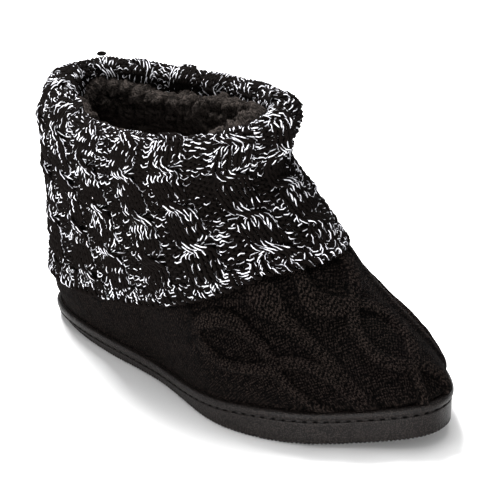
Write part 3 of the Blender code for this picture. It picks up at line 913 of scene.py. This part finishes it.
def make_lining():
    """Pile on the inside of the upper. It thickens towards the collar, where it covers the knit turned
    down inside: its depth under the form's surface goes from the wall's to just past the roll's width.
    At its top it rounds over in a quarter circle and runs outwards on top."""
    turn = (np.arange(LINING_TURNS) + 0.5) * TAU / LINING_TURNS
    up = np.array([0, 0, 1.0])
    top = smooth(PILE_TOP, turn / math.pi, 1)
    share = np.concatenate([np.linspace(0.02, 0.66, 22), np.linspace(0.66, 0.975, 76)[1:]])[:, None]
    level = share * top
    turns = np.broadcast_to(turn, level.shape)
    wall = sink(turns, level) + UPPER_WALL + CLEARANCE
    full = roll_width(turns) + 1.0 * MM
    rise = ease((level - 0.70) / 0.24)
    depth = wall + LINING_GROUND + (full - wall - LINING_GROUND) * rise
    side = skin(turns, level, -depth)
    inward = -outward(form, turns, level)
    angle = np.linspace(0, math.pi / 2, 9)[1:, None, None]
    end, into = side[-1], inward[-1]
    end = end + up * 2.4 * MM * lumps(end, 0.0075, 35)[:, None]
    cap = end + CURL_TOP * (into * (np.cos(angle) - 1) + up * np.sin(angle))
    out = np.linspace(0, CURL_SHELF, 10)[1:, None, None]
    shelf = cap[-1] - into * out
    base = np.concatenate([side, cap, shelf])
    away = np.concatenate([inward, into * np.cos(angle) + up * np.sin(angle), up + 0 * shelf])
    # The curls' painted light, with painted shade in their creases
    curls, painted_lightness = pile(base, 31)
    rise = np.concatenate([rise, np.ones((len(base) - len(side), LINING_TURNS))])
    height = (CURL_LOW + CURL_GAIN * rise) * curls
    height[-4:] *= np.array([0.8, 0.5, 0.2, 0.0])[:, None]
    face = base + away * height[..., None]
    tucked = (full - wall - 4 * MM) * ease((share - 0.93) / 0.045)
    back = skin(turns, level, -wall - tucked)[::8]
    rings = np.concatenate([face[::-1], back])
    # Painted light: marked paler down in the shoe, where little light comes
    painted_lightness = painted_lightness * (1 - (1 - PAINTED_LIGHT_AT_TOP) * rise)
    mark = np.concatenate([painted_lightness[::-1], np.zeros(back.shape[:2])])
    quads = grid_quads(len(rings), LINING_TURNS, True, True)
    made = mesh_of("pile_lining", rings.reshape(-1, 3), quads, mark=mark)
    return made


def make_insole():
    """Pile sheet on the sole inside the shoe, domed over at its edge: the upper's inner outline drawn
    in towards the middle line share by share, with curls added upwards."""
    columns = 480
    turn = sole_turns(columns)
    zero = np.zeros(columns)
    edge = skin(turn, zero, -UPPER_WALL - CLEARANCE)
    base = feather(along(turn)) + CLEARANCE
    rings = [np.column_stack([edge[:, :2], base])]
    marks = [zero]
    for share_in in INSOLE_SHARES:
        ring = np.column_stack([edge[:, 0], edge[:, 1] * share_in, base])
        ring[:, 2] += INSOLE_THICKNESS * ease((1.004 - share_in) / 0.06) + 0.3 * MM
        # The curls' painted light, with painted shade in their creases
        curls, painted_lightness = pile(ring, 41)
        ring[:, 2] += INSOLE_CURLS * curls * ease((1.0 - share_in) / 0.1)
        rings.append(ring)
        marks.append(painted_lightness)
    rows = len(rings)
    quads = np.concatenate([grid_quads(rows, columns, False, True),
                            strips_across(0, columns)[:, ::-1], strips_across(rows - 1, columns)])
    made = mesh_of("insole_pile", np.concatenate(rings), quads, mark=np.concatenate(marks))
    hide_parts("insole")
    return made


# Materials

# Darkest and palest colour of each finish
YARN_BLACK = ((0.0001, 0.0001, 0.0001, 1), (0.0072, 0.0051, 0.0044, 1))
YARN_WHITE = ((0.72, 0.72, 0.80, 1), (0.97, 0.97, 1.0, 1))
CUFF_GROUND = ((0.0006, 0.0005, 0.0004, 1), (0.0050, 0.0040, 0.0036, 1))
CHENILLE = ((0.0002, 0.0001, 0.0001, 1), (0.0190, 0.0138, 0.0117, 1))
PILE = ((0.0088, 0.0074, 0.0066, 1), (0.0800, 0.0660, 0.0590, 1))
RUBBER = ((0.0030, 0.0022, 0.0020, 1), (0.0208, 0.0163, 0.0146, 1))
GROOVE_SHADE = (0.0003, 0.0002, 0.0002, 1)
FLOOR_WHITE = (0.93, 0.93, 0.93, 1)

# Sizes of what the materials draw
YARN_HAIR, YARN_PATCH = 0.0005, 0.0040
CHENILLE_HAIR, CHENILLE_PATCH, CHENILLE_NUB = 0.0006, 0.0030, 0.0011
PILE_HAIR, PILE_STRAND = 0.0008, 0.0019
GROUND_HAIR = 0.0006
RUBBER_GRAIN, RUBBER_SPECK = 0.0006, 0.0007


def node(tree, kind, settings=(), **inputs):
    """A shader node. Inputs are given by name, or as i and their number, and are plain values or
    sockets to link."""
    made = tree.nodes.new(kind)
    for key, value in dict(settings).items():
        setattr(made, key, value)
    for name, value in inputs.items():
        numbered = name[0] == "i" and name[1:].isdigit()
        socket = made.inputs[int(name[1:]) if numbered else name.replace("_", " ")]
        if isinstance(value, bpy.types.NodeSocket):
            tree.links.new(value, socket)
        else:
            socket.default_value = value
    return made


def maths(tree, operation, *values):
    inputs = {f"i{i}": value for i, value in enumerate(values)}
    return node(tree, "ShaderNodeMath", {"operation": operation}, **inputs).outputs[0]


def band(tree, value, start, end):
    """A soft step from 0 at start to 1 at end."""
    made = node(tree, "ShaderNodeMapRange", {"interpolation_type": 'SMOOTHSTEP'},
                Value=value, From_Min=start, From_Max=end)
    return made.outputs["Result"]


def noise(tree, place, scale, detail, distortion=0.0):
    """The value of a noise with about this many lumps to a metre."""
    made = node(tree, "ShaderNodeTexNoise", Vector=place, Scale=scale, Detail=detail, Distortion=distortion)
    return made.outputs[0]


def carried(tree):
    """The mark that the mesh carries at its points."""
    return node(tree, "ShaderNodeAttribute", {"attribute_name": "mark"}).outputs["Fac"]


def woven(tree):
    """The piece's own UV map: turns of the ply on yarn, stitches on the vamp."""
    return node(tree, "ShaderNodeUVMap", {"uv_map": "weave"}).outputs[0]


def bump(tree, shader, strength, depth, height):
    """Raises a height on the surface of a material."""
    made = node(tree, "ShaderNodeBump", Strength=strength, Distance=depth, Height=height)
    tree.links.new(made.outputs[0], shader.inputs["Normal"])


def mix_colour(tree, share, low, high):
    made = node(tree, "ShaderNodeMix", {"data_type": 'RGBA'}, i0=share, i6=low, i7=high)
    return made.outputs[2]


def group(name, inputs, outputs):
    """An empty node group with named float and vector sockets; returns it with its ends."""
    tree = bpy.data.node_groups.new(name, 'ShaderNodeTree')
    for socket, kind, value in inputs:
        made = tree.interface.new_socket(socket, in_out='INPUT', socket_type=kind)
        made.default_value = value
    for socket, kind in outputs:
        tree.interface.new_socket(socket, in_out='OUTPUT', socket_type=kind)
    return tree, tree.nodes.new("NodeGroupInput"), tree.nodes.new("NodeGroupOutput")


def use(tree, group_tree, **inputs):
    """A node group placed in a material with its own values."""
    return node(tree, "ShaderNodeGroup", {"node_tree": group_tree}, **inputs)


FLOAT, VECTOR = 'NodeSocketFloat', 'NodeSocketVector'


def make_fuzz():
    """Fine loose fibre: a shade that varies from patch to patch, and the height of crossing hairs."""
    tree, given, out = group("fibre_fuzz",
                             (("Place", VECTOR, (0, 0, 0)), ("Hair size", FLOAT, 0.0008),
                              ("Patch size", FLOAT, 0.006)),
                             (("Shade", FLOAT), ("Height", FLOAT)))
    hair_scale = maths(tree, 'DIVIDE', 1.0, given.outputs["Hair size"])
    patch_scale = maths(tree, 'DIVIDE', 1.0, given.outputs["Patch size"])
    patch = noise(tree, given.outputs["Place"], patch_scale, 3.0)
    hair = noise(tree, given.outputs["Place"], hair_scale, 2.0, 1.2)
    shade = maths(tree, 'MULTIPLY_ADD', patch, 0.2, maths(tree, 'MULTIPLY', hair, 0.8))
    tree.links.new(shade, out.inputs["Shade"])
    tree.links.new(hair, out.inputs["Height"])
    return tree


def make_stitches():
    """Fine knit on a chart in stitches. Plain knit is rows of V: two legs to a stitch, each a rounded
    stroke that leans. Purl is rounded bumps set like bricks. The output is the height, 0 in the gaps."""
    tree, given, out = group("fine_stitches", (("Chart", VECTOR, (0, 0, 0)), ("Place", VECTOR, (0, 0, 0)),
                                               ("Plain", FLOAT, 1.0)), (("Height", FLOAT),))
    stray = node(tree, "ShaderNodeTexNoise", Vector=given.outputs["Place"], Scale=330.0, Detail=2.0)
    shift = node(tree, "ShaderNodeVectorMath", {"operation": 'MULTIPLY_ADD'}, i0=stray.outputs["Color"],
                 i1=(1.1, 1.1, 0.0), i2=given.outputs["Chart"])
    split = node(tree, "ShaderNodeSeparateXYZ", i0=shift.outputs[0])
    x, y = split.outputs[0], split.outputs[1]
    leg = maths(tree, 'ABSOLUTE', maths(tree, 'MULTIPLY_ADD', maths(tree, 'FRACT', y), 2.0, -1.0))
    stroke = maths(tree, 'COSINE', maths(tree, 'MULTIPLY', maths(tree, 'MULTIPLY_ADD', leg, 0.6, x), TAU))
    ridge = maths(tree, 'SINE', maths(tree, 'MULTIPLY', leg, math.pi))
    plain = maths(tree, 'MULTIPLY', maths(tree, 'MULTIPLY_ADD', stroke, 0.5, 0.5),
                  maths(tree, 'POWER', ridge, 0.5))
    brick = maths(tree, 'MULTIPLY', maths(tree, 'COSINE', maths(tree, 'MULTIPLY', x, TAU)),
                  maths(tree, 'COSINE', maths(tree, 'MULTIPLY', y, TAU)))
    purl = maths(tree, 'MULTIPLY_ADD', brick, 0.5, 0.5)
    mixed = node(tree, "ShaderNodeMix", i0=given.outputs["Plain"], i2=purl, i3=plain)
    tree.links.new(mixed.outputs[0], out.inputs["Height"])
    return tree


def make_grain():
    """Fine pebbled grain of moulded rubber: rounded cells with a little unevenness."""
    tree, given, out = group("moulded_grain", (("Place", VECTOR, (0, 0, 0)), ("Size", FLOAT, 0.0007)),
                             (("Height", FLOAT), ("Unevenness", FLOAT)))
    scale = maths(tree, 'DIVIDE', 1.0, given.outputs["Size"])
    cells = node(tree, "ShaderNodeTexVoronoi", Vector=given.outputs["Place"], Scale=scale)
    soft = noise(tree, given.outputs["Place"], maths(tree, 'MULTIPLY', scale, 0.06), 4.0)
    tree.links.new(maths(tree, 'SUBTRACT', 1.0, cells.outputs["Distance"]), out.inputs["Height"])
    tree.links.new(soft, out.inputs["Unevenness"])
    return tree


def material(name, roughness, **constants):
    """A Principled material with its constants set on the shader; returns it, its tree and shader."""
    made = bpy.data.materials.new(name)
    made.use_nodes = True
    shader = made.node_tree.nodes["Principled BSDF"]
    shader.inputs["Roughness"].default_value = roughness
    for key, value in constants.items():
        shader.inputs[key.replace("_", " ")].default_value = value
    return made, made.node_tree, shader


def object_place(tree):
    return tree.nodes.new("ShaderNodeTexCoord").outputs["Object"]


def marl_yarn(fuzz):
    """Black yarn plied with one thin white thread, which shows as a dash where it comes to the front."""
    made, tree, shader = material("marl_knit", 0.92, Specular_IOR_Level=0.05)
    split = node(tree, "ShaderNodeSeparateXYZ", i0=woven(tree))
    place = object_place(tree)
    hairs = use(tree, fuzz, Place=place, Hair_size=YARN_HAIR, Patch_size=YARN_PATCH)
    wander = maths(tree, 'MULTIPLY_ADD', noise(tree, place, 420.0, 1.0), 0.12, -0.06)
    around = maths(tree, 'ADD', maths(tree, 'SUBTRACT', split.outputs[1], split.outputs[0]), wander)
    facing = maths(tree, 'COSINE', maths(tree, 'MULTIPLY', around, TAU))
    # The dash is as wide as this limit is low, so it narrows and breaks off unevenly
    limit = maths(tree, 'MULTIPLY_ADD', noise(tree, place, 190.0, 2.0), 0.30, 0.785)
    white = band(tree, maths(tree, 'SUBTRACT', facing, limit), 0.0, 0.05)
    black = mix_colour(tree, hairs.outputs["Shade"], *YARN_BLACK)
    pale = mix_colour(tree, hairs.outputs["Shade"], *YARN_WHITE)
    tree.links.new(mix_colour(tree, white, black, pale), shader.inputs["Base Color"])
    twist = maths(tree, 'COSINE', maths(tree, 'MULTIPLY', around, 4 * TAU))
    height = maths(tree, 'ADD', maths(tree, 'MULTIPLY', twist, 0.25), hairs.outputs["Height"])
    height = maths(tree, 'ADD', height, maths(tree, 'MULTIPLY', white, 0.5))
    bump(tree, shader, 0.7, 0.0003, height)
    return made


def chenille(fuzz, stitches, grain):
    """Black chenille knit: stitches with painted shade in the gaps between them and painted light on the
    raised knit, blurred by loose fibre.
    """
    made, tree, shader = material("black_knit", 0.95, Specular_IOR_Level=0.03)
    place = object_place(tree)
    hairs = use(tree, fuzz, Place=place, Hair_size=CHENILLE_HAIR, Patch_size=CHENILLE_PATCH)
    plain = carried(tree)
    knit = use(tree, stitches, Chart=woven(tree), Place=place, Plain=plain).outputs["Height"]
    # Painted light and shade: paler on the raised knit, painted shade along its edges, in its gaps and on
    # the sunken purl
    edge = maths(tree, 'MULTIPLY', plain, maths(tree, 'SUBTRACT', 1.0, plain))
    relief_shading = maths(tree, 'MULTIPLY_ADD', edge, -1.9, maths(tree, 'MULTIPLY_ADD', plain, 0.20, 0.95))
    nubs = use(tree, grain, Place=place, Size=CHENILLE_NUB).outputs["Height"]
    loose = maths(tree, 'MULTIPLY_ADD', hairs.outputs["Shade"], 3.4, -1.95)
    curled = maths(tree, 'MULTIPLY_ADD', nubs, 1.2, -0.50)
    # The stitches' height paints shade into the gaps between them
    shade = maths(tree, 'ADD', maths(tree, 'MULTIPLY_ADD', knit, 0.9, loose), curled)
    # Painted shade on the sunken purl ground, where the knit is not plain
    sunk = maths(tree, 'MULTIPLY_ADD', plain, 0.24, -0.26)
    shade = maths(tree, 'MULTIPLY_ADD', relief_shading, shade, sunk)
    tree.links.new(mix_colour(tree, shade, *CHENILLE), shader.inputs["Base Color"])
    height = maths(tree, 'MULTIPLY_ADD', hairs.outputs["Height"], 0.5, knit)
    bump(tree, shader, 1.0, 0.00035, maths(tree, 'MULTIPLY_ADD', nubs, 0.9, height))
    return made


def curly_pile(fuzz):
    """Soft black pile: warm, with painted light on the curls and painted shade in the creases marked on the
    mesh and where the fibre's height is low; the mark also paints it paler down in the shoe.
    """
    made, tree, shader = material("pile_lining", 0.95, Specular_IOR_Level=0.04)
    place = object_place(tree)
    hairs = use(tree, fuzz, Place=place, Hair_size=PILE_HAIR)
    strands = use(tree, fuzz, Place=place, Hair_size=PILE_STRAND)
    height = maths(tree, 'MULTIPLY_ADD', hairs.outputs["Height"], 0.45, strands.outputs["Height"])
    # Painted shade: darker where the fibre's height is low, with the mark's painted light and shade added
    relief = maths(tree, 'MULTIPLY_ADD', height, 2.3, -1.58)
    shade = maths(tree, 'MULTIPLY_ADD', carried(tree), 1.6, relief)
    tree.links.new(mix_colour(tree, shade, *PILE), shader.inputs["Base Color"])
    bump(tree, shader, 1.0, 0.0010, height)
    return made


def backing_cloth(fuzz):
    """The dark ground behind the cuff's yarn."""
    made, tree, shader = material("cuff_ground", 0.95, Specular_IOR_Level=0.05)
    hairs = use(tree, fuzz, Place=object_place(tree), Hair_size=GROUND_HAIR, Patch_size=YARN_PATCH)
    tree.links.new(mix_colour(tree, hairs.outputs["Shade"], *CUFF_GROUND), shader.inputs["Base Color"])
    return made


def moulded_rubber(grain):
    """Dark satin rubber with a fine grain, and painted shade on the floor of its groove."""
    made, tree, shader = material("rubber_sole", 0.42, Specular_IOR_Level=0.12)
    place = object_place(tree)
    uneven = use(tree, grain, Place=place, Size=RUBBER_GRAIN).outputs["Unevenness"]
    speck = use(tree, grain, Place=place, Size=RUBBER_SPECK).outputs["Height"]
    shade = maths(tree, 'ADD', maths(tree, 'MULTIPLY_ADD', speck, 13.0, -8.0), uneven)
    grained = mix_colour(tree, shade, *RUBBER)
    # The mesh's mark paints shade on the groove's floor
    out_of_groove = carried(tree)
    tree.links.new(mix_colour(tree, out_of_groove, GROOVE_SHADE, grained), shader.inputs["Base Color"])
    tree.links.new(maths(tree, 'MULTIPLY_ADD', uneven, 0.16, 0.36), shader.inputs["Roughness"])
    bump(tree, shader, 0.8, 0.0003, speck)
    return made


def paint(made, *pieces):
    for piece in pieces:
        piece.data.materials.append(made)


# Stage: floor, light and camera

CAMERA_AZIMUTH = 41.5         # degrees round from straight on to the outer side
CAMERA_RISE = 26.0
CAMERA_ROLL = -2.8
CAMERA_DISTANCE = 0.870
AIM = (-0.0004, 0.0034, 0.060)
SENSOR = 36.0
FOCAL_PIXELS = 1695.6         # of the picture's 500
PICTURE = 500
CENTRE_PIXEL = (234, 261)     # where the aim lies in the picture
FLOOR_HALF = 6.0
WORLD_LIGHT = 0.44
LIGHT_AIM = (0.0, 0.0, 0.05)
#          name    place                 width  height  power
LIGHTS = (("key", (-0.66, 0.32, 1.42), 0.45, 0.45, 52.0),
          ("top", (-0.05, 0.10, 1.45), 0.90, 0.90, 12.0),
          ("fill", (0.50, -1.25, 0.12), 1.00, 0.22, 24.0))


def make_camera():
    """The camera stands off the aim, rolled a little, with the aim at its own pixel of the picture."""
    a, e, r = (math.radians(x) for x in (CAMERA_AZIMUTH, CAMERA_RISE, CAMERA_ROLL))
    back = Vector((math.sin(a) * math.cos(e), -math.cos(a) * math.cos(e), math.sin(e)))
    side = Vector((0, 0, 1)).cross(back).normalized()
    up = back.cross(side)
    right = side * math.cos(r) + up * math.sin(r)
    above = up * math.cos(r) - side * math.sin(r)
    camera = bpy.data.cameras.new("camera")
    camera.sensor_width = SENSOR
    camera.lens = FOCAL_PIXELS / PICTURE * SENSOR
    camera.shift_x = 0.5 - CENTRE_PIXEL[0] / PICTURE
    camera.shift_y = CENTRE_PIXEL[1] / PICTURE - 0.5
    camera.clip_start = 0.05
    placed = bpy.data.objects.new("camera", camera)
    turned = Matrix((right, above, back)).transposed().to_4x4()
    placed.matrix_world = Matrix.Translation(Vector(AIM) + back * CAMERA_DISTANCE) @ turned
    bpy.context.scene.collection.objects.link(placed)
    bpy.context.scene.camera = placed


def area_light(name, place, width, height, power):
    light = bpy.data.lights.new(name, 'AREA')
    light.shape = 'RECTANGLE'
    light.size, light.size_y = width, height
    light.energy = power
    made = bpy.data.objects.new(name, light)
    made.location = place
    made.rotation_euler = (Vector(LIGHT_AIM) - Vector(place)).to_track_quat('-Z', 'Y').to_euler()
    bpy.context.scene.collection.objects.link(made)


def make_stage():
    """A pale floor, an even pale surround and three soft lights."""
    mesh = bpy.data.meshes.new("floor")
    corners = [(x * FLOOR_HALF, y * FLOOR_HALF, 0) for x, y in ((-1, -1), (1, -1), (1, 1), (-1, 1))]
    mesh.from_pydata(corners, [], [(0, 1, 2, 3)])
    floor = bpy.data.objects.new("floor", mesh)
    bpy.context.scene.collection.objects.link(floor)
    paint(material("floor", 0.9, Specular_IOR_Level=0.1, Base_Color=FLOOR_WHITE)[0], floor)
    world = bpy.data.worlds.new("studio")
    world.use_nodes = True
    background = world.node_tree.nodes["Background"]
    background.inputs["Color"].default_value = (1, 1, 1, 1)
    background.inputs["Strength"].default_value = WORLD_LIGHT
    scene = bpy.context.scene
    scene.world = world
    scene.view_settings.view_transform = 'Standard'
    for light in LIGHTS:
        area_light(*light)


def main():
    fuzz, grain, stitches = make_fuzz(), make_grain(), make_stitches()
    marl = marl_yarn(fuzz)
    pile_cloth = curly_pile(fuzz)
    paint(moulded_rubber(grain), make_outsole())
    paint(chenille(fuzz, stitches, grain), make_upper())
    paint(pile_cloth, make_lining(), make_insole())
    paint(marl, *make_cuff())
    paint(backing_cloth(fuzz), make_cuff_backing())
    make_stage()
    make_camera()


main()
